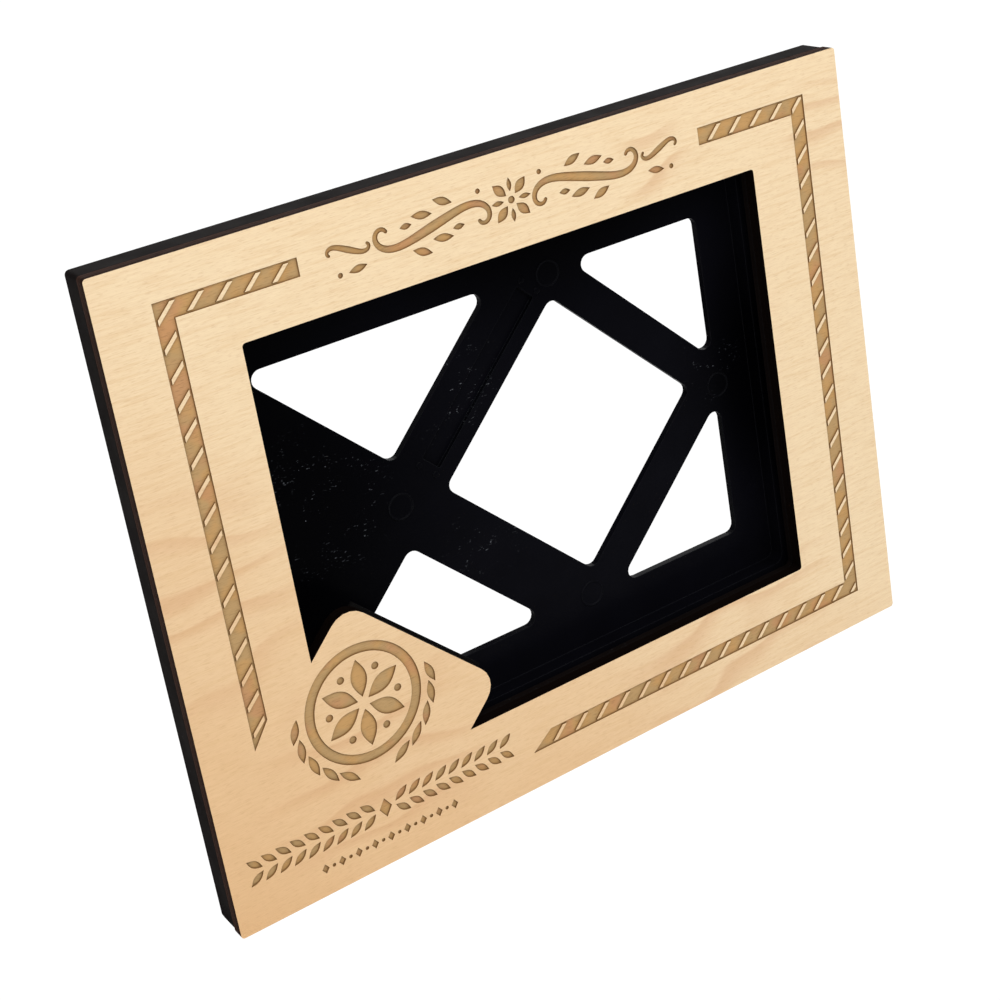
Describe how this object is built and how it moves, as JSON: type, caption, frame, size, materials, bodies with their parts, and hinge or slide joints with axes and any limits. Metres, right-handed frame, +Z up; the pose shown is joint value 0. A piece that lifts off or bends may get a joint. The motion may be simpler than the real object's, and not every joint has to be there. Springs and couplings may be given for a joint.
{
  "type": "easel photo frame",
  "caption": "Landscape photo frame: engraved wooden face taped to a moulded black bezel and lattice back, standing on a leg hinged on the diagonal.",
  "frame": {"origin": "on the table, at the middle of the object's box", "axes": "+X to the viewer's right along the panel's bottom edge, -Y out of the front towards the viewer, +Z up; the panel leans back towards +Y"},
  "size_m": [0.192, 0.1366, 0.1444],
  "materials": {
    "wood": "bare laser-cut maple-faced plywood, scorched edges",
    "tape": "matt foam",
    "rim_plastic": "moulded black, satin",
    "back_plastic": "moulded black, half gloss",
    "leg_plastic": "moulded black, satin"
  },
  "bodies": {
    "root": {"wood_face": "wood", "tape_top": "tape", "tape_bottom": "tape", "tape_left": "tape", "tape_right": "tape", "bezel_frame": "rim_plastic", "lattice_back": "back_plastic"},
    "leg": {"easel_leg": "leg_plastic"}
  },
  "joints": [
    {"name": "leg_hinge", "type": "hinge", "parent": "root", "child": "leg", "pos_m": [-0.0086, -0.0165, 0.08882], "axis": [0.7071, 0.2592, 0.6579], "range_deg": [-56, 0]}
  ]
}
